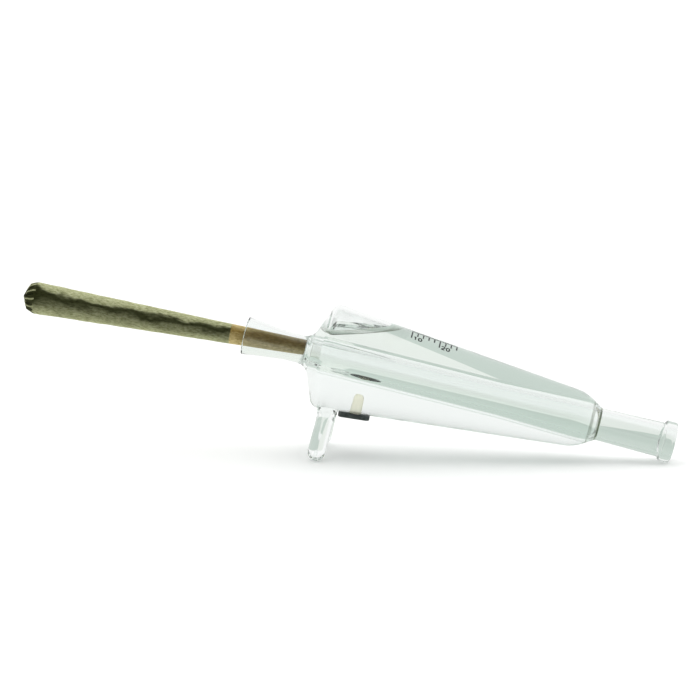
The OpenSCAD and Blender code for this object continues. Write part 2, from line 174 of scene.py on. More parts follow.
MM = 0.001
SOCKET_RIM_R = 6.6         # millimetres from here on
SOCKET_FLARE = 15.0
NECK_LEN = 22.9
TUBE_R = 4.9
TUBE_WALL = 1.1
PINCH_R = 3.0
PINCH_REACH = 1.9
WIDENING_LEN = 31.0
MOUTH_LEN = 26.5
MOUTH_ROOT_R = 5.6
MOUTH_END_R = 6.0
MOUTH_BORE_R = 4.6
LIP_R = 7.0
LIP_W = 4.4
LIP_ROUND = 0.95
JACKET_R = 18.45
JACKET_LEN = 90.9
JACKET_TAIL_R = 9.7
JACKET_WALL = 1.2
SHOULDER_LEAN = np.radians(21)
TAIL_SLOPE = np.radians(32)
FLARE_ROUND = 4.6          # roundings outside: neck, shoulder, tail and mouthpiece
SHOULDER_ROUND = 3.2
TAIL_ROUND = 15.0
MOUTH_ROUND = 0.6
CHAMBER_FRONT_ROUND = 1.1  # roundings inside the jacket
CHAMBER_BACK_ROUND = 0.5   # no larger: it shares a short wall with the tail's rounding
CHAMBER_SHOULDER_ROUND = 2.0
PINCH_ROUND = 0.9
FLARE_BEND = 24.0          # slow bends of the tube: after the flare, and where it widens and stops widening
TUBE_BEND = 60.0
BORE_BEND = 30.0
GLASS_TURNS = 300          # flat faces round the glass

mouth = next(m for m in frame["record"]["mounts"] if m["name"] == "mouth_bore")
axis = np.array(mouth["axis"]) / np.linalg.norm(mouth["axis"])
down = np.array([axis[2], 0.0, -axis[0]])
side = np.array([0.0, 1.0, 0.0])


def span(node, way, start):
    """Least and greatest distance of a CAD node's corners from start, along a direction, in millimetres."""
    flat = np.empty(3 * len(frame["nodes"][node].data.vertices))
    frame["nodes"][node].data.vertices.foreach_get("co", flat)
    reach = (flat.reshape(-1, 3) - start) @ way / MM
    return reach.min(), reach.max()


rim = np.array(mouth["pos_m"]) + axis * span("cone_socket", axis, np.array(mouth["pos_m"]))[0] * MM


def on_axis(s, d, y):
    """Point s millimetres along the glass from the socket rim, d below the axis and y to the side. It is
    in metres: the rim's middle plus s along the axis, d along down and y along side."""
    s, d, y = (np.asarray(v, float)[..., None] * MM for v in (s, d, y))
    return rim + s * axis + d * down + y * side


def line(a, b, gap=2.0):
    """Points from a towards b, b left out, no more than gap apart: a + (b - a) i / n."""
    a, b = np.array(a, float), np.array(b, float)
    n = max(1, int(np.ceil(np.linalg.norm(b - a) / gap)))
    return a + (b - a) * (np.arange(n) / n)[:, None]


def round_off(a, b, c, radius, steps=10):
    """The corner a-b-c rounded: an arc of that radius that touches both legs, its hub on the bisector."""
    a, b, c = (np.array(p, float) for p in (a, b, c))
    u, v = (a - b) / np.linalg.norm(a - b), (c - b) / np.linalg.norm(c - b)
    half = np.arccos(u @ v) / 2
    hub = b + (u + v) / np.linalg.norm(u + v) * radius / np.sin(half)
    first, last = b + u * radius / np.tan(half) - hub, b + v * radius / np.tan(half) - hub
    turn = np.arctan2(first[0] * last[1] - first[1] * last[0], first @ last)
    angles = np.arctan2(first[1], first[0]) + turn * np.linspace(0, 1, steps + 1)
    return hub + radius * np.stack([np.cos(angles), np.sin(angles)], axis=1)


def crossing(p, u, q, v):
    """Where the line through p along u meets the line through q along v."""
    return p + u * ((q - p)[0] * v[1] - (q - p)[1] * v[0]) / (u[0] * v[1] - u[1] * v[0])


def filled(runs, gap=12.0):
    """One outline through the points of each run in turn, with straight stretches cut to that gap."""
    points = np.concatenate([np.atleast_2d(np.array(r, float)) for r in runs])
    return np.concatenate([line(p, q, gap) for p, q in zip(points, points[1:])] + [points[-1:]])


def skin_faces(rows, columns, closed):
    """Quads over a grid of points, (i, j), (i, j + 1), (i + 1, j + 1), (i + 1, j), joined round along each
    row, and from the last row to the first where it is closed."""
    i, j = np.meshgrid(np.arange(rows - (not closed)), np.arange(columns), indexing="ij")
    k, l = (i + 1) % rows, (j + 1) % columns
    quads = np.stack([i * columns + j, i * columns + l, k * columns + l, k * columns + j], axis=-1)
    return quads.reshape(-1, 4)

def turned(outline, place, turns, closed):
    """A surface of revolution: outline point (s, r) goes to (s, r cos t, r sin t) for t round the axis.
    A closed outline joins its last point to its first; an open one starts and ends on the axis, where
    its ring is a point."""
    s, r = outline.T
    t = np.arange(turns) * 2 * np.pi / turns
    points = place(np.repeat(s[:, None], turns, 1), r[:, None] * np.cos(t), r[:, None] * np.sin(t))
    return points.reshape(-1, 3), skin_faces(len(s), turns, closed)


def piece(name, points, faces, stuffs=(), index=0):
    """A mesh object from points and faces. Doubles at seams and poles are merged, faces turned outwards."""
    mesh = bpy.data.meshes.new(name)
    mesh.from_pydata(points.tolist(), [], [list(f) for f in faces])
    for stuff in stuffs:
        mesh.materials.append(stuff)
    bm = bmesh.new()
    bm.from_mesh(mesh)
    bmesh.ops.remove_doubles(bm, verts=bm.verts, dist=1e-7)
    bmesh.ops.recalc_face_normals(bm, faces=bm.faces)
    for face in bm.faces:
        face.material_index = index
    bm.to_mesh(mesh)
    bm.free()
    ob = bpy.data.objects.new(name, mesh)
    scene.collection.objects.link(ob)
    return ob


def carve(ob, tool, how):
    """Joins the tool to the object, or cuts it out of it, for good. Faces keep their own material numbers."""
    cut = ob.modifiers.new("carve", "BOOLEAN")
    cut.operation = how
    cut.solver = "MANIFOLD"
    cut.object = tool
    result = bpy.data.meshes.new_from_object(ob.evaluated_get(bpy.context.evaluated_depsgraph_get()))
    ob.modifiers.clear()
    ob.data = result
    bpy.data.objects.remove(tool)


GLASS_IOR = 1.50
WATER_IOR = 1.333
GLASS_COLOUR = "#fbfdfc"


def lets_light(name, colour, ior, roughness, ripple):
    """Clear stuff: a smooth refracting surface that also lets light through to what stands behind it.
    ripple is how strongly slow waves, a few millimetres long, tilt the surface."""
    stuff = bpy.data.materials.new(name)
    stuff.use_nodes = True
    tree = stuff.node_tree
    shell = tree.nodes["Principled BSDF"]
    shell.inputs["Base Color"].default_value = linear(colour)
    shell.inputs["Transmission Weight"].default_value = 1.0
    shell.inputs["IOR"].default_value = ior
    shell.inputs["Roughness"].default_value = roughness
    place = add(tree, "ShaderNodeTexCoord")
    wave = add(tree, "ShaderNodeTexNoise", [("Vector", place.outputs["Object"])], Scale=110.0, Detail=1.0)
    tilt = add(tree, "ShaderNodeBump", [("Height", wave.outputs[0])], Strength=ripple, Distance=0.0005)
    tree.links.new(tilt.outputs[0], shell.inputs["Normal"])
    ray = add(tree, "ShaderNodeLightPath")
    through = add(tree, "ShaderNodeBsdfTransparent", Color=linear(colour))
    mix = add(tree, "ShaderNodeMixShader",
              [(0, ray.outputs["Is Shadow Ray"]), (1, shell.outputs[0]), (2, through.outputs[0])])
    tree.links.new(mix.outputs[0], tree.nodes["Material Output"].inputs["Surface"])
    return stuff


def band_of(tree, value, low, high, soft, most):
    """A shader value that is most while the given value is between low and high, and fades to 0 over soft."""
    rises = add(tree, "ShaderNodeMapRange", [("Value", value)],
                From_Min=low - soft, From_Max=low, To_Max=most)
    falls = add(tree, "ShaderNodeMapRange", [("Value", value)],
                From_Min=high, From_Max=high + soft, To_Max=most)
    band = add(tree, "ShaderNodeMath", [(0, rises.outputs[0]), (1, falls.outputs[0])], operation="SUBTRACT")
    return band.outputs[0]


# flame-polished borosilicate: quite clear, faintly green where it is thick, and a little wavy
clear_glass = lets_light("flame-polished borosilicate glass", GLASS_COLOUR, GLASS_IOR, 0.0, 0.05)
wet_glass = lets_light("borosilicate glass against water", GLASS_COLOUR, GLASS_IOR / WATER_IOR, 0.0, 0.0)

shoulder_way = np.array([np.sin(SHOULDER_LEAN), np.cos(SHOULDER_LEAN)])
neck_corner = np.array([NECK_LEN, TUBE_R])
shoulder_corner = neck_corner + shoulder_way * (JACKET_R - TUBE_R) / shoulder_way[1]
tail_corner = shoulder_corner + np.array([JACKET_LEN, JACKET_TAIL_R - JACKET_R])
tail_way = np.array([np.cos(TAIL_SLOPE), -np.sin(TAIL_SLOPE)])
mouth_corner = tail_corner + tail_way * (MOUTH_ROOT_R - JACKET_TAIL_R) / tail_way[1]
cone_way = (tail_corner - shoulder_corner) / np.linalg.norm(tail_corner - shoulder_corner)
glass_end = mouth_corner[0] + MOUTH_LEN
lip_start = glass_end - LIP_W
widens = mouth_corner[0] - 4 - WIDENING_LEN

# two narrow olive rings painted into the glass's colour at the tail seal, as painted shade for the darker
# look of its thick glass
tree = clear_glass.node_tree
place = add(tree, "ShaderNodeTexCoord")
along = add(tree, "ShaderNodeVectorMath", [(0, place.outputs["Object"])], operation="DOT_PRODUCT")
along.inputs[1].default_value = tuple(axis)
seal = float(rim @ axis) + mouth_corner[0] * MM
near_ring = band_of(tree, along.outputs["Value"], seal - 3.3 * MM, seal - 2.9 * MM, 0.2 * MM, 0.6)
far_ring = band_of(tree, along.outputs["Value"], seal - 0.6 * MM, seal - 0.1 * MM, 0.2 * MM, 0.9)
rings = add(tree, "ShaderNodeMath", [(0, near_ring), (1, far_ring)], operation="ADD")
olive = add(tree, "ShaderNodeMixRGB", [("Fac", rings.outputs[0])],
            Color1=linear(GLASS_COLOUR), Color2=linear("#42552a"))
tree.links.new(olive.outputs[0], tree.nodes["Principled BSDF"].inputs["Base Color"])

lip_root = (lip_start, MOUTH_END_R)
outer = filled([
    (0, 0),
    round_off((0, 0), (0, SOCKET_RIM_R), (SOCKET_FLARE, TUBE_R), 0.5, 6),
    round_off((0, SOCKET_RIM_R), (SOCKET_FLARE, TUBE_R), neck_corner, FLARE_BEND),
    round_off((SOCKET_FLARE, TUBE_R), neck_corner, shoulder_corner, FLARE_ROUND, 14),
    round_off(neck_corner, shoulder_corner, tail_corner, SHOULDER_ROUND, 14),
    round_off(shoulder_corner, tail_corner, mouth_corner, TAIL_ROUND, 16),
    round_off(tail_corner, mouth_corner, lip_root, MOUTH_ROUND, 6),
    round_off(mouth_corner, lip_root, (lip_start + 0.3, LIP_R), 0.5, 6),
    round_off(lip_root, (lip_start + 0.3, LIP_R), (glass_end, LIP_R), LIP_ROUND, 8),
    round_off((lip_start, LIP_R), (glass_end, LIP_R), (glass_end, 0), LIP_ROUND, 8),
    (glass_end, 0)])
tube_bore_r = TUBE_R - TUBE_WALL
rim_bore_r = SOCKET_RIM_R - TUBE_WALL
flare_foot = (SOCKET_FLARE, tube_bore_r)
pinch_at = NECK_LEN + 1
pinch_start = (pinch_at - PINCH_REACH, tube_bore_r)
pinch_mid = (pinch_at, PINCH_R)
pinch_stop = (pinch_at + PINCH_REACH, tube_bore_r)
bore_widens = (widens, tube_bore_r)
bore_straight = (widens + WIDENING_LEN, MOUTH_BORE_R)
mouth_edge = glass_end + 2
edge_r = MOUTH_BORE_R + LIP_ROUND / 2
bore = filled([
    (-2, 0), (-2, rim_bore_r + 0.9), (-0.05, rim_bore_r + 0.45),
    round_off((-0.5, rim_bore_r + 0.9), (0.4, rim_bore_r), flare_foot, 0.5, 5),
    round_off((0, rim_bore_r), flare_foot, (NECK_LEN, tube_bore_r), FLARE_BEND),
    round_off(flare_foot, pinch_start, pinch_mid, PINCH_ROUND, 6),
    round_off(pinch_start, pinch_mid, pinch_stop, PINCH_ROUND, 6),
    round_off(pinch_mid, pinch_stop, bore_widens, PINCH_ROUND, 6),
    round_off((NECK_LEN, tube_bore_r), bore_widens, bore_straight, TUBE_BEND),
    round_off(bore_widens, bore_straight, (glass_end, MOUTH_BORE_R), BORE_BEND),
    round_off((widens, MOUTH_BORE_R), (glass_end, MOUTH_BORE_R), (glass_end, LIP_R), LIP_ROUND / 2, 6),
    (glass_end + 0.02, edge_r), (mouth_edge, edge_r), (mouth_edge, 0)])

inwards = np.array([shoulder_way[1], -shoulder_way[0]]) * JACKET_WALL
shoulder_in = neck_corner + inwards
cone_in = shoulder_corner + np.array([cone_way[1], -cone_way[0]]) * JACKET_WALL
tail_in = tail_corner + np.array([tail_way[1], -tail_way[0]]) * JACKET_WALL
chamber_shoulder = crossing(shoulder_in, shoulder_way, cone_in, cone_way)
chamber_tail = crossing(cone_in, cone_way, tail_in, tail_way)
tube_end = np.array([mouth_corner[0] - 4, MOUTH_ROOT_R])
tube_widens = np.array([widens, TUBE_R])
widening_way = tube_end - tube_widens
chamber_front = crossing(shoulder_in, shoulder_way, np.array([0, TUBE_R]), np.array([1.0, 0]))
chamber_back = crossing(tail_in, tail_way, tube_end, widening_way)
chamber = filled([
    round_off(chamber_shoulder, chamber_front, tube_widens, CHAMBER_FRONT_ROUND, 8),
    round_off(chamber_front, tube_widens, chamber_back, TUBE_BEND),
    round_off(tube_widens, chamber_back, chamber_tail, CHAMBER_BACK_ROUND, 6),
    round_off(chamber_back, chamber_tail, chamber_shoulder, TAIL_ROUND - JACKET_WALL, 16),
    round_off(chamber_tail, chamber_shoulder, chamber_front, CHAMBER_SHOULDER_ROUND, 12),
    round_off(chamber_shoulder, chamber_front, tube_widens, CHAMBER_FRONT_ROUND, 8)[:1]])[:-1]

GLASS_PARTS = ["cone_socket", "front_ring_seal", "jacket_shell", "smoke_tube", "tail_ring_seal", "mouth_tube",
               "mouth_lip", "left_foot", "right_foot", "left_foot_weld", "right_foot_weld"]
FOOT_R = 3.05
FOOT_LEN = 19.7
FOOT_SPLAY = np.radians(37)
FOOT_AT = shoulder_corner[0] + 5.9
WELD_LIP = 0.45
FOOT_ROOT_Y = (FOOT_R + WELD_LIP) / np.cos(FOOT_SPLAY) + 0.02
foot_root_r = JACKET_R + (FOOT_AT - shoulder_corner[0]) * cone_way[1] / cone_way[0]
foot_root_d = np.sqrt(foot_root_r**2 - FOOT_ROOT_Y**2)


def on_foot(way):
    """The frame of a foot: z out along the rod from its root on the jacket, way -1 or 1 for its side."""
    def place(z, a, b):
        d = foot_root_d + z * np.cos(FOOT_SPLAY) - a * np.sin(FOOT_SPLAY)
        y = way * (FOOT_ROOT_Y + z * np.sin(FOOT_SPLAY) + a * np.cos(FOOT_SPLAY))
        return on_axis(FOOT_AT + b, d, y)
    return place


ball = np.linspace(np.pi / 2, 0, 18)
rod = filled([
    (-5.0, 0), (-5.0, FOOT_R + WELD_LIP), (0.3, FOOT_R + WELD_LIP),
    round_off((-1, FOOT_R + WELD_LIP), (1.0, FOOT_R + WELD_LIP), (2.9, FOOT_R), 1.5, 5),
    round_off((1.0, FOOT_R + WELD_LIP), (2.9, FOOT_R), (9, FOOT_R), 3, 5),
    np.stack([FOOT_LEN - FOOT_R + FOOT_R * np.cos(ball), FOOT_R * np.sin(ball)], axis=1)], 1.0)

both = (clear_glass, wet_glass)
glass = piece("fused_glass", *turned(outer, on_axis, GLASS_TURNS, False), both)
for way in (-1, 1):
    carve(glass, piece("rod", *turned(rod, on_foot(way), 64, False), both), "UNION")
carve(glass, piece("chamber", *turned(chamber, on_axis, GLASS_TURNS, True), both, 1), "DIFFERENCE")
carve(glass, piece("bore", *turned(bore, on_axis, 200, False), both), "DIFFERENCE")

# fill hole: drilled square to the glass axis, under the stopper's disc
DISC_R = 5.5
PLUG_R = 2.2
PLUG_LEN = 9.4
HOLE_AT = FOOT_AT + FOOT_R + WELD_LIP + 0.1 + DISC_R
hole_d = JACKET_R + (HOLE_AT - shoulder_corner[0]) * cone_way[1] / cone_way[0]
wall_slope = np.arctan2(-cone_way[1], cone_way[0])


def on_stopper(z, a, b):
    """The frame of the stopper's disc: z out of the fill hole, square to the jacket's wall and measured from
    its outer surface, a along the wall and b to the side."""
    s = HOLE_AT + z * np.sin(wall_slope) + a * np.cos(wall_slope)
    return on_axis(s, hole_d + z * np.cos(wall_slope) - a * np.sin(wall_slope), b)


def on_hole(z, a, b):
    """The frame of the fill hole and its plug: z out of the hole, square to the glass axis and measured from
    the jacket's surface, a along the glass and b to the side."""
    return on_axis(HOLE_AT + a, hole_d + z, b)


drill = filled([(-2 * JACKET_WALL, 0), (-2 * JACKET_WALL, PLUG_R + 0.06), (2 * JACKET_WALL, PLUG_R + 0.06),
                (2 * JACKET_WALL, 0)], 0.5)
carve(glass, piece("drill", *turned(drill, on_hole, 48, False), both), "DIFFERENCE")
glass.data.shade_smooth()
glass.data.set_sharp_from_angle(angle=np.radians(38))


# the water's edge: the chamber's faces are cut along it, because glass against water
# bends light far less than glass against air
SURFACE_FALL = 7.65        # depth of the air over the water, from the chamber's highest point
EDGE_RISE = 1.9            # how far the water climbs the glass at its edge
CLIMB_LENGTH = 2.2         # distance from the glass over which it climbs
chamber_top = max(on_axis(s, -r, 0)[2] for s, r in chamber)
water_level = chamber_top - SURFACE_FALL * MM
wet_line = water_level + EDGE_RISE * MM
bm = bmesh.new()
bm.from_mesh(glass.data)
inner = [f for f in bm.faces if f.material_index == 1]
edges = {e for f in inner for e in f.edges}
corners = {v for f in inner for v in f.verts}
bmesh.ops.bisect_plane(bm, geom=inner + list(edges) + list(corners), dist=1e-8,
                       plane_co=(0, 0, wet_line), plane_no=(0, 0, 1))
for face in bm.faces:
    if face.material_index == 1 and face.calc_center_median().z > wet_line:
        face.material_index = 0
bm.to_mesh(glass.data)
bm.free()

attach(glass, "glass")
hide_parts(*GLASS_PARTS)

# ---- the water ------------------------------------------------------------------
# Plain water, poured in through the fill hole until the jacket is nearly full. Its top is level at rest,
# under an air space at the shoulder, and its edge climbs the glass all round.

AIR_X = (-0.024, 0.026)    # metres: where the air space lies, and so where the water's top has a fine grid
AIR_Y = 0.020


def near_wall(x, y):
    """Distance in millimetres from a point of the water's level to the jacket's inner wall, square to it:
    the lesser of the distances to the cone's wall and to the shoulder's, from the point's own s and r."""
    from_rim = np.stack([x, y, np.full_like(x, water_level)], axis=-1) - rim
    s = from_rim @ axis / MM
    r = np.hypot(from_rim @ down, from_rim @ side) / MM
    to_cone = (s - cone_in[0]) * cone_way[1] - (r - cone_in[1]) * cone_way[0]
    to_shoulder = (s - shoulder_in[0]) * shoulder_way[1] - (r - shoulder_in[1]) * shoulder_way[0]
    return np.minimum(to_cone, to_shoulder)


def water_top():
    """The water's upper surface: level, and climbing near the glass in a quarter of an oval,
    by rise * (1 - sqrt(1 - (1 - distance / length) ** 2))."""
    along_x = np.concatenate([np.linspace(*AIR_X, 168), [0.06, 0.12]])
    x, y = np.meshgrid(along_x, np.linspace(-AIR_Y, AIR_Y, 135), indexing="ij")
    share = np.clip(1 - near_wall(x, y) / CLIMB_LENGTH, 0, 1)
    z = water_level + EDGE_RISE * MM * (1 - np.sqrt(1 - share**2))
    rows, columns = x.shape
    low = np.full_like(z, water_level - 0.06)
    points = np.concatenate([np.stack([x, y, layer], axis=-1).reshape(-1, 3) for layer in (z, low)])
    i, j = np.meshgrid(np.arange(rows - 1), np.arange(columns - 1), indexing="ij")
    here = i * columns + j
    top = np.stack([here, here + columns, here + columns + 1, here + 1], axis=-1)
    bottom = top[..., ::-1] + rows * columns
    edge = np.concatenate([np.arange(columns), np.arange(1, rows) * columns + columns - 1,
                           (rows - 1) * columns + np.arange(columns - 2, -1, -1),
                           np.arange(rows - 2, 0, -1) * columns])
    ahead = np.roll(edge, -1)
    wall = np.stack([ahead, edge, edge + rows * columns, ahead + rows * columns], axis=-1)
    return points, np.concatenate([top.reshape(-1, 4), bottom.reshape(-1, 4), wall])


# water: clear, no colour of its own at this depth
open_water = lets_light("still water", "#fafdfc", WATER_IOR, 0.0, 0.0)
# painted shade: two thin dark lines painted into the water along the climbing edge on the front half, where
# it curves most: at its foot and its top
tree = open_water.node_tree
place = add(tree, "ShaderNodeTexCoord")
ways = add(tree, "ShaderNodeSeparateXYZ", [(0, place.outputs["Object"])])
foot_shade_line = band_of(tree, ways.outputs["Z"], water_level + 0.05 * MM, water_level + 0.70 * MM, 0.1 * MM, 0.75)
top_shade_line = band_of(tree, ways.outputs["Z"], wet_line - 0.35 * MM, wet_line + 1.0 * MM, 0.1 * MM, 0.55)
meniscus_shade_lines = add(tree, "ShaderNodeMath", [(0, foot_shade_line), (1, top_shade_line)], operation="ADD")
front = add(tree, "ShaderNodeMapRange", [("Value", ways.outputs["Y"])], From_Min=0.002, From_Max=-0.004)
share = add(tree, "ShaderNodeMath", [(0, meniscus_shade_lines.outputs[0]), (1, front.outputs[0])], operation="MULTIPLY")
# the painted shade's colour: a dull dark grey-green
shade = add(tree, "ShaderNodeBsdfDiffuse", Color=linear("#5d6853"))
surface = tree.nodes["Material Output"].inputs["Surface"]
mix = add(tree, "ShaderNodeMixShader",
          [(0, share.outputs[0]), (1, surface.links[0].from_socket), (2, shade.outputs[0])])
tree.links.new(mix.outputs[0], surface)
# where water lies against glass, the glass's own inner face already bends the light
against_glass = bpy.data.materials.new("water against glass")
against_glass.use_nodes = True
tree = against_glass.node_tree
unseen = add(tree, "ShaderNodeBsdfTransparent")
tree.links.new(unseen.outputs[0], tree.nodes["Material Output"].inputs["Surface"])
SKIN = 0.02                # gap to the glass, so that the two surfaces don't lie in one place
water = piece("jacket_water.clear", *turned(chamber, on_axis, GLASS_TURNS, True), (against_glass, open_water))
water.data.shade_smooth()
inset = np.empty(3 * len(water.data.vertices))
normals = np.empty(3 * len(water.data.vertices))
water.data.vertices.foreach_get("co", inset)
water.data.vertex_normals.foreach_get("vector", normals)
water.data.vertices.foreach_set("co", inset - normals * SKIN * MM)
carve(water, piece("top", *water_top(), (against_glass, open_water), 1), "INTERSECT")
pocket = filled([(-PLUG_LEN - SKIN, 0), (-PLUG_LEN - SKIN, PLUG_R + SKIN), (1, PLUG_R + SKIN), (1, 0)])
carve(water, piece("pocket", *turned(pocket, on_hole, 48, False), (against_glass, open_water)), "DIFFERENCE")
water.data.shade_smooth()
water.data.set_sharp_from_angle(angle=np.radians(38))
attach(water, "glass")
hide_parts("jacket_water")

# ---- the scale marks --------------------------------------------------------------
# Black enamel printed on the top of the jacket and fired: a plain scale of lines every
# 2 mm, longer ones every 10 mm, with numbers.

SCALE_START = 56.0         # millimetres along the glass to the first mark
SCALE_GAP = 2.0            # from one mark to the next
SCALE_COUNT = 9
SCALE_TURN = 0.10          # radians from the jacket's top, towards the camera, to where the marks begin
LONG_MARK = 5.2            # every fifth mark
SHORT_MARK = 3.2
DIGIT_FIRST = (0.8, 5.6)   # from a long mark's root to the foot of its first digit, along and round
DIGIT_STEP = 1.7           # from one digit to the next
DIGIT_WIDE = 1.15
INK_GAP = 0.015            # from the glass to the underside of the enamel
STROKE = 0.48              # width of a line
INK_DEEP = 0.04            # thickness of the enamel

# the digits' strokes, in a box 1 wide and 1.6 high
DIGITS = {
    "0": [[(0.5, 0.0), (0.15, 0.2), (0.0, 0.8), (0.15, 1.4), (0.5, 1.6),
           (0.85, 1.4), (1.0, 0.8), (0.85, 0.2), (0.5, 0.0)]],
    "1": [[(0.15, 1.2), (0.55, 1.6), (0.55, 0.0)]],
    "2": [[(0.0, 1.25), (0.25, 1.55), (0.7, 1.6), (0.98, 1.25), (0.85, 0.85), (0.0, 0.0), (1.0, 0.0)]],
}


def on_jacket(s, along_ring, lift):
    """A point on the jacket's cone: s along the glass, along_ring millimetres round from the scale's start
    line towards the camera, and lift millimetres off the glass, all by the cone's own radius at s."""
    wall_r = JACKET_R + (s - shoulder_corner[0]) * cone_way[1] / cone_way[0]
    turn = SCALE_TURN + along_ring / wall_r
    return on_axis(s, -(wall_r + lift) * np.cos(turn), -(wall_r + lift) * np.sin(turn))


def stroke(path):
    """A flat strip of enamel along a path of (s, ring) points: its two edges stand half a stroke to each side
    of the path, square to it, and its top lies INK_DEEP over its bottom."""
    path = np.array(path, float)
    fine = np.concatenate([line(a, b, 0.25) for a, b in zip(path, path[1:])] + [path[-1:]])
    way = np.gradient(fine, axis=0)
    way /= np.linalg.norm(way, axis=1)[:, None]
    off = np.stack([-way[:, 1], way[:, 0]], axis=1) * STROKE / 2
    left, right = fine + off, fine - off
    rings = np.stack([on_jacket(left[:, 0], left[:, 1], INK_GAP),
                      on_jacket(right[:, 0], right[:, 1], INK_GAP),
                      on_jacket(right[:, 0], right[:, 1], INK_GAP + INK_DEEP),
                      on_jacket(left[:, 0], left[:, 1], INK_GAP + INK_DEEP)], axis=1)
    last = 4 * len(fine) - 4
    ends = np.array([[3, 2, 1, 0], [last, last + 1, last + 2, last + 3]])
    return rings.reshape(-1, 3), np.concatenate([skin_faces(len(fine), 4, False), ends])

strokes = []
for mark in range(SCALE_COUNT):
    at = SCALE_START + mark * SCALE_GAP
    strokes.append(stroke([(at, 0), (at, LONG_MARK if mark % 5 == 0 else SHORT_MARK)]))
scale_end = SCALE_START + (SCALE_COUNT - 1) * SCALE_GAP
strokes.append(stroke([(SCALE_START - STROKE / 2, 0), (scale_end + STROKE / 2, 0)]))
for text, mark in (("10", 0), ("20", 5)):
    for place, digit in enumerate(text):
        at = SCALE_START + mark * SCALE_GAP + DIGIT_FIRST[0] + place * DIGIT_STEP
        corner = np.array([at, DIGIT_FIRST[1]])
        for path in DIGITS[digit]:
            strokes.append(stroke([corner + (DIGIT_WIDE * u, -DIGIT_WIDE * v) for u, v in path]))
counts = np.cumsum([0] + [len(points) for points, _ in strokes[:-1]])

# black enamel: fired on, dense and a little shiny
enamel = bpy.data.materials.new("fired black enamel print")
enamel.use_nodes = True
enamel.node_tree.nodes["Principled BSDF"].inputs["Base Color"].default_value = linear("#1d2422")
enamel.node_tree.nodes["Principled BSDF"].inputs["Roughness"].default_value = 0.45
marks = piece("scale_marks", np.concatenate([points for points, _ in strokes]),
              np.concatenate([faces + start for (_, faces), start in zip(strokes, counts)]), (enamel,))
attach(marks, "glass")

# ---- the stopper ------------------------------------------------------------------
# A soft push-in stopper for the fill hole: a tapered plug of cream silicone that shows through
# the water, and a dark rubber disc outside that hugs the jacket and is the pull.

# silicone: milky, lets much of the light through
silicone = bpy.data.materials.new("moulded cream silicone")
silicone.use_nodes = True
tree = silicone.node_tree
milky = tree.nodes["Principled BSDF"]
milky.inputs["Base Color"].default_value = linear("#fbf8e6")
milky.inputs["Transmission Weight"].default_value = 0.92
milky.inputs["IOR"].default_value = 1.12
milky.inputs["Roughness"].default_value = 0.55
plug_outline = filled([
    (-PLUG_LEN, 0),
    round_off((-PLUG_LEN, 0), (-PLUG_LEN, 1.7), (0, PLUG_R), 1.25, 8),
    round_off((-PLUG_LEN, 1.7), (-JACKET_WALL - 0.5, PLUG_R - 0.02), (0, PLUG_R), 1.5, 5),
    round_off((-JACKET_WALL, PLUG_R), (0.05, PLUG_R), (0.05, 0), 0.2, 4),
    (0.05, 0)], 0.6)
plug = piece("stopper_plug.silicone", *turned(plug_outline, on_hole, 64, False), (silicone,))
plug.data.shade_smooth()
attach(plug, "stopper")
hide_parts("stopper_plug")

DISC_THICK = 1.65
DISC_NEAR = 0.3            # from the jacket to the disc's near face
DISC_EDGE = 0.3            # rounding of the disc's edge
DISC_HUG = 18.0            # radius of its bend round the jacket


def bent_disc(z, a, b):
    """A point of the disc bent round the jacket: z moves in by b squared over twice the bend's radius."""
    return on_stopper(z - np.asarray(b) ** 2 / (2 * DISC_HUG), a, b)


# rubber: nearly black, dull, with a faint tooth
rubber = bpy.data.materials.new("moulded dark rubber")
rubber.use_nodes = True
tree = rubber.node_tree
tree.nodes["Principled BSDF"].inputs["Roughness"].default_value = 0.6
place = add(tree, "ShaderNodeTexCoord")
dust = add(tree, "ShaderNodeTexNoise", [("Vector", place.outputs["Object"])], Scale=900.0, Detail=4.0)
tone = add(tree, "ShaderNodeValToRGB", [(0, dust.outputs[0])])
tone.color_ramp.elements[0].position = 0.35
tone.color_ramp.elements[0].color = linear("#2c3433")
tone.color_ramp.elements[1].position = 0.7
tone.color_ramp.elements[1].color = linear("#4b5654")
tooth = add(tree, "ShaderNodeBump", [("Height", dust.outputs[0])], Strength=0.15, Distance=0.0001)
tree.links.new(tone.outputs[0], tree.nodes["Principled BSDF"].inputs["Base Color"])
tree.links.new(tooth.outputs[0], tree.nodes["Principled BSDF"].inputs["Normal"])
disc_far = DISC_NEAR + DISC_THICK
disc_outline = filled([
    (DISC_NEAR, 0),
    round_off((DISC_NEAR, 0), (DISC_NEAR, DISC_R), (disc_far, DISC_R), DISC_EDGE, 5),
    round_off((DISC_NEAR, DISC_R), (disc_far, DISC_R), (disc_far, 0), DISC_EDGE, 5),
    (disc_far, 0)], 0.5)
disc = piece("stopper_disc.rubber", *turned(disc_outline, bent_disc, 96, False), (rubber,))
disc.data.shade_smooth()
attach(disc, "stopper")
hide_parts("stopper_disc")

# ---- the rolled cone: card tip ------------------------------------------------------
# A strip of brown unbleached card, its first turns folded to and fro and the rest rolled
# round them. It holds the cone's small end open and pushes into the socket.

CONE_SEAT = 21.88          # millimetres along the glass to the cone's small end
CONE_UP = 1.03             # and how far that lies above the axis
CONE_DROOP = np.radians(3.7)
CONE_LEN = 100.0
CONE_TIP_R = 2.65
CONE_BIG_R = 5.6
FOLD_LEN = 4.6
BODY_LEN = CONE_LEN - FOLD_LEN
CARD_LEN = 26.8
CARD_WALL = 0.8
PAPER = 0.14


def on_cone(h, a, b):
    """The rolled cone's frame: h from its small end out to the folded one, a down and b to the side."""
    s = CONE_SEAT - h * np.cos(CONE_DROOP) + a * np.sin(CONE_DROOP)
    return on_axis(s, h * np.sin(CONE_DROOP) + a * np.cos(CONE_DROOP) - CONE_UP, b)


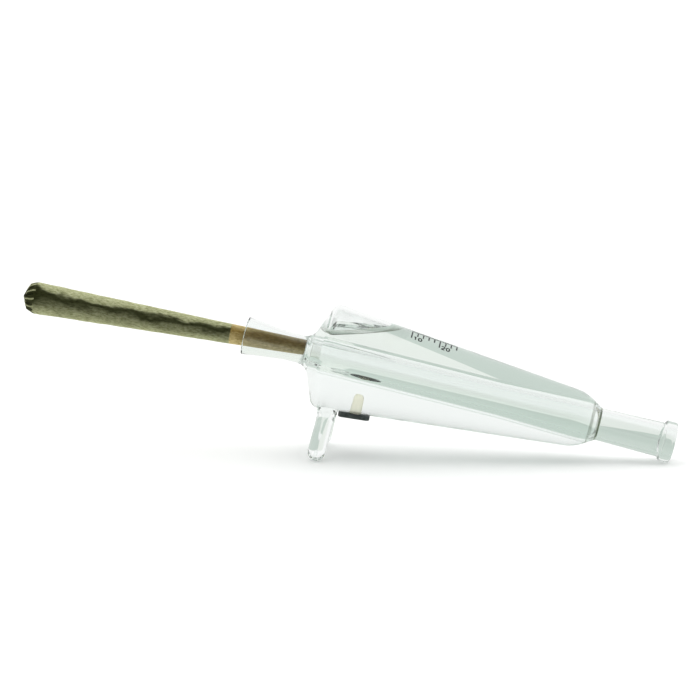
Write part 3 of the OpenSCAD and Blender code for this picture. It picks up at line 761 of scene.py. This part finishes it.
def cone_radius(h):
    """The paper's outer radius, straight from the small end to the folded one."""
    return CONE_TIP_R + (CONE_BIG_R - CONE_TIP_R) * h / BODY_LEN


def waves(places, seed, count=60):
    """Smooth noise about 0: a sum of sines across random ways and phases, over places of (..., 3) in wave
    lengths, divided by the root of half their number so that its spread is 1."""
    chance = np.random.default_rng(seed)
    ways = chance.normal(size=(count, 3))
    ways *= (2 * np.pi * chance.uniform(0.5, 1.6, count) / np.linalg.norm(ways, axis=1))[:, None]
    turns = places @ ways.T + chance.uniform(0, 2 * np.pi, count)
    return np.sin(turns).sum(axis=-1) / np.sqrt(count / 2)


def keep_place(ob):
    """Stores where each corner lies in the cone's own frame, in millimetres, as the attribute own_place,
    and gives it back."""
    flat = np.empty(3 * len(ob.data.vertices))
    ob.data.vertices.foreach_get("co", flat)
    from_seat = flat.reshape(-1, 3) - on_cone(0.0, 0.0, 0.0)
    frame_ways = np.stack([on_cone(*way) - on_cone(0.0, 0.0, 0.0) for way in np.eye(3)])
    own = (from_seat @ frame_ways.T / MM**2).astype("f")
    ob.data.attributes.new("own_place", "FLOAT_VECTOR", "POINT").data.foreach_set("vector", own.ravel())
    return own

def strip_faces(rows, columns):
    """Quads of a closed strip whose points run out along one side of each row and back along the other:
    its skin, and a cap across each end row."""
    j = np.arange(columns // 2 - 1)
    cap = np.stack([j, j + 1, columns - 2 - j, columns - 1 - j], axis=-1)
    skin = skin_faces(rows, columns, False)[:, [0, 3, 2, 1]]
    return np.concatenate([skin, cap, (rows - 1) * columns + cap[:, ::-1]])

# card: golden brown and mottled, with short fibres
card = bpy.data.materials.new("rolled unbleached card")
card.use_nodes = True
tree = card.node_tree
tree.nodes["Principled BSDF"].inputs["Roughness"].default_value = 0.8
place = add(tree, "ShaderNodeAttribute", attribute_name="own_place")
stretch = add(tree, "ShaderNodeMapping", [("Vector", place.outputs["Vector"])], Scale=(0.4, 1.6, 1.6))
fibre = add(tree, "ShaderNodeTexNoise", [("Vector", stretch.outputs[0])], Scale=1.6, Detail=5.0)
tone = add(tree, "ShaderNodeValToRGB", [(0, fibre.outputs[0])])
tone.color_ramp.elements[0].position = 0.3
tone.color_ramp.elements[0].color = linear("#7d6237")
tone.color_ramp.elements[1].position = 0.72
tone.color_ramp.elements[1].color = linear("#c4a469")
tree.links.new(tone.outputs[0], tree.nodes["Principled BSDF"].inputs["Base Color"])

# the roll: a spiral that winds outwards by half a millimetre, to lie just under the paper
CARD_TURNS = 1.6
CARD_THICK = 0.3
CARD_WIND = 0.62 * CARD_WALL
turn = np.linspace(0, 2 * np.pi * CARD_TURNS, 150)
inset = CARD_WIND * (1 - turn / turn[-1])
length = np.linspace(0, CARD_LEN, 15)[:, None]
outer_r = cone_radius(length) - PAPER - 0.02 - inset
skin = np.concatenate([outer_r, (outer_r - CARD_THICK)[:, ::-1]], axis=1)
round_turn = np.concatenate([turn, turn[::-1]])
roll_points = on_cone(length + 0 * skin, skin * np.cos(round_turn), skin * np.sin(round_turn))
roll = piece("card_tip.roll", roll_points.reshape(-1, 3), strip_faces(*skin.shape), (card,))
keep_place(roll)
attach(roll, "rolled_cone")
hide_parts("card_tip")

# the folded first turns: a strip across the tip, of height 0.62 cos(2 pi across / 0.8) of its reach,
# lower towards the sides
FOLD_HALF = 0.14           # half the strip's thickness
reach = CONE_TIP_R - PAPER - CARD_WALL - 0.05
across = np.linspace(-0.8, 0.8, 61)
height = 0.62 * np.cos(across * np.pi / 0.8 * 2) * np.sqrt(1 - across**2)
slope = np.gradient(height, across)
tilt = np.stack([-slope, np.ones_like(slope)]) / np.hypot(slope, 1)
edge_a = np.concatenate([height * reach + FOLD_HALF * tilt[1], (height * reach - FOLD_HALF * tilt[1])[::-1]])
edge_b = np.concatenate([across * reach + FOLD_HALF * tilt[0], (across * reach - FOLD_HALF * tilt[0])[::-1]])
ends_h = np.array([0.15, CARD_LEN - 0.3])[:, None]
fold_points = on_cone(ends_h + 0 * edge_a, edge_a + 0 * ends_h, edge_b + 0 * ends_h)
fold = piece("card_tip.folds", fold_points.reshape(-1, 3), strip_faces(*fold_points.shape[:2]), (card,))
keep_place(fold)
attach(fold, "rolled_cone")
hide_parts("card_fold")

# ---- the rolled cone: fill ------------------------------------------------------------
# Ground dried herb, packed in the paper from the card to the folded end. It shows only through the
# paper, so its surface is plain crumbs.

# dried herb: dull, in dark and olive greens, with crumbs about 0.8 mm across
herb = bpy.data.materials.new("ground dried herb")
herb.use_nodes = True
tree = herb.node_tree
tree.nodes["Principled BSDF"].inputs["Roughness"].default_value = 0.95
place = add(tree, "ShaderNodeAttribute", attribute_name="own_place")
crumb = add(tree, "ShaderNodeTexVoronoi", [("Vector", place.outputs["Vector"])], Scale=1.3)
tone = add(tree, "ShaderNodeValToRGB", [(0, crumb.outputs["Color"])])
tone.color_ramp.elements[0].color = linear("#2b3119")
tone.color_ramp.elements[1].color = linear("#6b7445")
tree.links.new(tone.outputs[0], tree.nodes["Principled BSDF"].inputs["Base Color"])
fill_h = np.linspace(CARD_LEN + 0.1, BODY_LEN - 0.1, 160)
fill_outline = np.stack([fill_h, cone_radius(fill_h) - PAPER - 0.5], axis=1)
fill_outline = np.concatenate([[(fill_h[0], 0)], fill_outline, [(fill_h[-1], 0)]])


def crumbled(h, a, b):
    """The fill's surface: each point moved out or in by noise, in step with its distance from the middle."""
    spread = 1 + 0.02 * waves(np.stack([h, a, b], axis=-1) / 2.2, 5, 40)
    return on_cone(h, a * spread, b * spread)


fill = piece("herb_fill.crumbs", *turned(fill_outline, crumbled, 72, False), (herb,))
keep_place(fill)
fill.data.shade_smooth()
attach(fill, "rolled_cone")
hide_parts("herb_fill")

# ---- the rolled cone: paper ------------------------------------------------------------
# Thin unbleached paper rolled over card and fill and glued along one edge. The herb shows
# through it grey-green; over the card it is golden. Painted shade darkens it in a band on the side
# that faces the camera, fading towards the bottom, and over the folded end.

# rolling paper: matt and thin, so it takes the colour of the herb or the card under it; the two change
# sharply where the card ends, and its long streaks are fibres and creases
paper = bpy.data.materials.new("thin rolled paper over the fill")
paper.use_nodes = True
tree = paper.node_tree
shell = tree.nodes["Principled BSDF"]
shell.inputs["Roughness"].default_value = 0.85
shell.inputs["Specular IOR Level"].default_value = 0.1
place = add(tree, "ShaderNodeAttribute", attribute_name="own_place")
own_ways = add(tree, "ShaderNodeSeparateXYZ", [(0, place.outputs["Vector"])])
stretch = add(tree, "ShaderNodeMapping", [("Vector", place.outputs["Vector"])], Scale=(0.35, 1.0, 1.0))
streak = add(tree, "ShaderNodeTexNoise", [("Vector", stretch.outputs[0])],
             Scale=2.0, Detail=6.0, Roughness=0.7)
herb_tone = add(tree, "ShaderNodeValToRGB", [(0, streak.outputs[0])])
herb_tone.color_ramp.elements[0].position = 0.34
herb_tone.color_ramp.elements[0].color = linear("#7f8358")
herb_tone.color_ramp.elements[1].position = 0.66
herb_tone.color_ramp.elements[1].color = linear("#d2d5ad")
herb_tone.color_ramp.elements.new(0.5).color = linear("#b3b68b")
# painted shade: this attribute darkens the herb's and the card's colour in a band on the side facing the
# camera and on the folded end
thin_and_shade = add(tree, "ShaderNodeAttribute", attribute_name="thin_paper_and_painted_shade")
herb_and_painted_shade = add(tree, "ShaderNodeMixRGB", [("Fac", thin_and_shade.outputs["Fac"]), ("Color1", herb_tone.outputs[0])],
                 blend_type="MULTIPLY", Color2=linear("#474a33"))
card_tone = add(tree, "ShaderNodeValToRGB", [(0, streak.outputs[0])])
card_tone.color_ramp.elements[0].position = 0.32
card_tone.color_ramp.elements[0].color = linear("#a48f55")
card_tone.color_ramp.elements[1].position = 0.68
card_tone.color_ramp.elements[1].color = linear("#ead9a2")
past_card = add(tree, "ShaderNodeMapRange", [("Value", own_ways.outputs["X"])],
                From_Min=CARD_LEN - 0.15, From_Max=CARD_LEN + 0.15)
card_and_painted_shade = add(tree, "ShaderNodeMixRGB", [("Fac", thin_and_shade.outputs["Fac"]), ("Color1", card_tone.outputs[0])],
                 blend_type="MULTIPLY", Color2=linear("#b5a884"))
showing = add(tree, "ShaderNodeMixRGB", [("Fac", past_card.outputs[0]), ("Color1", card_and_painted_shade.outputs[0]),
                                         ("Color2", herb_and_painted_shade.outputs[0])])
tree.links.new(showing.outputs[0], shell.inputs["Base Color"])
grain = add(tree, "ShaderNodeTexNoise", [("Vector", stretch.outputs[0])], Scale=4.5, Detail=3.0)
tooth = add(tree, "ShaderNodeBump", [("Height", grain.outputs[0])], Strength=0.5, Distance=0.0003)
tree.links.new(tooth.outputs[0], shell.inputs["Normal"])


def lumps(h, turn):
    """How far the paper stands out from the plain cone, in millimetres: broad lumps of the fill, long creases
    of the paper and a slight flat where it is thin, all fading to nothing over the stiff card."""
    r = cone_radius(h)
    broad = waves(np.stack([h / 7, r * np.cos(turn) / 4.5, r * np.sin(turn) / 4.5], axis=-1), 11)
    creases = waves(np.stack([h / 9, r * np.cos(turn) / 1.3, r * np.sin(turn) / 1.3], axis=-1), 12)
    soft = np.clip((h - CARD_LEN) / 10, 0, 1)
    return soft * (0.04 * broad - 0.04 * np.abs(creases)) - 0.05 * soft


def paper_shade_band(h, turn):
    """How dark the paper is painted, 1 for darkest: painted shade in a band on the side that faces the
    camera, where the herb also shows through the thin paper. Over the fill: a band along the cone whose upper
    edge, 1 / (1 + exp(angle past it / 0.05)), is sharp and flares at the folded end, and under the band
    0.96 + 0.52 times the angle from its middle. Both edges wander.
    Over the card: exp(-(angle / 0.6) ** 2)."""
    wander = 0.10 * waves(np.stack([h / 12, turn, 0 * h], axis=-1), 13, 30)
    ragged = 0.035 * waves(np.stack([h / 2.5, 3 * turn, 0 * h], axis=-1), 14, 30)
    from_middle = turn + np.pi / 2 - 0.42 + wander + ragged
    flare = 0.5 * np.exp(-np.clip(BODY_LEN - h, 0, None) / 3)
    top_edge = 1 / (1 + np.exp(np.clip((from_middle - 0.22 - flare) / 0.05, -60, 60)))
    low_edge = 1 / (1 + np.exp((-0.20 - flare - from_middle) / 0.08))
    lower_part = np.clip(0.96 + 0.52 * from_middle, 0, 0.9)
    over_fill = top_edge * (low_edge + (1 - low_edge) * lower_part)
    over_card = np.exp(-(((from_middle - 0.05) / 0.6) ** 2))
    return np.where(h > CARD_LEN, over_fill, over_card)


PAPER_TURNS = 200          # points round the paper
PAPER_RINGS = 240          # and along it
PAPER_IN = 0.01            # how far its outside lies under the cone's own radius
wrap_h = np.concatenate([[0.0], np.linspace(0.05, BODY_LEN - 0.05, PAPER_RINGS), [BODY_LEN]])[:, None]
wrap_turn = (np.arange(PAPER_TURNS) * 2 * np.pi / PAPER_TURNS - np.pi)[None, :]
grid_h = wrap_h + 0 * wrap_turn
grid_turn = wrap_turn + 0 * wrap_h
outside = cone_radius(grid_h) - PAPER_IN + lumps(grid_h, grid_turn)
skin_h = np.concatenate([grid_h, grid_h[::-1]])
skin_turn = np.concatenate([grid_turn, grid_turn[::-1]])
skin_r = np.concatenate([outside, (outside - PAPER * 0.7)[::-1]])
wrap_points = on_cone(skin_h, -skin_r * np.cos(skin_turn), skin_r * np.sin(skin_turn))
wrap = piece("paper_wrap.rolled", wrap_points.reshape(-1, 3), skin_faces(*skin_h.shape, True), (paper,))
own = keep_place(wrap)
# the painted shade, stored on the paper for its material
band = paper_shade_band(own[:, 0].astype(float), np.arctan2(own[:, 2], -own[:, 1]).astype(float))
wrap.data.attributes.new("thin_paper_and_painted_shade", "FLOAT", "POINT").data.foreach_set("value", band.astype("f"))
wrap.data.shade_smooth()
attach(wrap, "rolled_cone")
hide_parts("paper_wrap")

# the glued overlap: a second layer in a narrow strip along the back
SEAM_TURN = np.radians(28)         # from straight down, away from the camera's side
seam_h = np.linspace(CARD_LEN, BODY_LEN - 0.2, 240)[:, None]
seam_out = np.concatenate([np.linspace(-0.2, 0.2, 9), np.linspace(0.2, -0.2, 9)])[None, :]
seam_lift = np.concatenate([np.full(9, 0.02), np.full(9, 0.02 + PAPER * 0.6)])[None, :]
turn = np.pi - SEAM_TURN + seam_out
seam_r = cone_radius(seam_h) - PAPER_IN + lumps(seam_h + 0 * turn, turn + 0 * seam_h) + seam_lift
seam_points = on_cone(seam_h + 0 * turn, -seam_r * np.cos(turn), seam_r * np.sin(turn))
seam = piece("gum_seam.overlap", seam_points.reshape(-1, 3), strip_faces(*seam_points.shape[:2]), (paper,))
keep_place(seam)
seam.data.shade_smooth()
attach(seam, "rolled_cone")
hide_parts("gum_seam")

# ---- the rolled cone: folded end --------------------------------------------------------
# The paper's free end pushed in over the fill in a star of pleats, with a slightly raised
# rim where it turns over and a small twist in the middle.

PLEATS = 11
DOME_TURNS = 330           # points round the end
DOME_RINGS = 90            # and from its edge to its middle
dome_turn = (np.arange(DOME_TURNS) * 2 * np.pi / DOME_TURNS - np.pi)[None, :]
share = np.linspace(0, 1, DOME_RINGS)[:, None]


def pleated(share, turn):
    """The end's surface from the wrap's edge (share 0) to the middle (share 1), as (h, r): a quarter of an
    oval, out along the cone first and then inwards, cut by pleats abs(sin(n turn / 2)) that slant and
    deepen inwards, with a raised rim exp(-((share - 0.42) / 0.08) ** 2) and a small twist in the middle."""
    bend = share * np.pi / 2
    start = cone_radius(BODY_LEN - 0.01) + lumps(np.full_like(turn, BODY_LEN), turn) - PAPER_IN
    slant = turn + 0.35 * share + 0.08 * waves(np.stack([share / 2, turn, 0 * turn], axis=-1), 21, 20)
    fold = np.abs(np.sin(PLEATS * slant / 2))
    depth = np.clip(share * 2.5, 0, 1) * (1 - share**6)
    r = start * np.cos(bend) ** 0.85 * (1 - 0.16 * depth * (1 - fold))
    rim = 0.28 * np.exp(-(((share - 0.42) / 0.08) ** 2))
    twist = 0.5 * np.exp(-(((share - 1) / 0.10) ** 2))
    h = BODY_LEN + (FOLD_LEN - 0.55) * np.sin(bend) - 0.8 * depth * (1 - fold) + rim + twist
    return h, r


dome_h, dome_r = pleated(share + 0 * dome_turn, dome_turn + 0 * share)
dome_r[-1] = 0.0
dome_h[-1] = dome_h[-1].max()
dome_points = on_cone(dome_h, -dome_r * np.cos(dome_turn), dome_r * np.sin(dome_turn)).reshape(-1, 3)
hub = on_cone(BODY_LEN + 0.05, 0.0, 0.0)[None]
j = np.arange(DOME_TURNS)
base = np.stack([np.roll(j, -1), j, np.full_like(j, len(dome_points))], axis=-1)
end = piece("folded_end.star", np.concatenate([dome_points, hub]),
            skin_faces(*dome_h.shape, False).tolist() + base.tolist(), (paper,))
own = keep_place(end)
end_h = own[:, 0].astype(float)
end_turn = np.arctan2(own[:, 2], -own[:, 1]).astype(float)
end_r = np.hypot(own[:, 1], own[:, 2]).astype(float) / cone_radius(BODY_LEN)
end_share = np.arccos(np.clip(end_r, 0, 1) ** (1 / 0.85)) * 2 / np.pi
# painted shade over the folded end: dark from near its edge to near its middle, lighter along the pleat
# ridges
over = np.clip((end_share - 0.05) / 0.12, 0, 1) * np.clip((0.72 - end_share) / 0.06, 0, 1)
crease = np.clip((np.abs(np.sin(PLEATS * (end_turn + 0.35 * end_share) / 2)) - 0.93) / 0.06, 0, 1)
band = paper_shade_band(end_h, end_turn)
band = np.maximum(band, over * 0.97) * (1 - 0.75 * crease * over)
end.data.attributes.new("thin_paper_and_painted_shade", "FLOAT", "POINT").data.foreach_set("value", band.astype("f"))
end.data.shade_smooth()
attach(end, "rolled_cone")
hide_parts("folded_end")
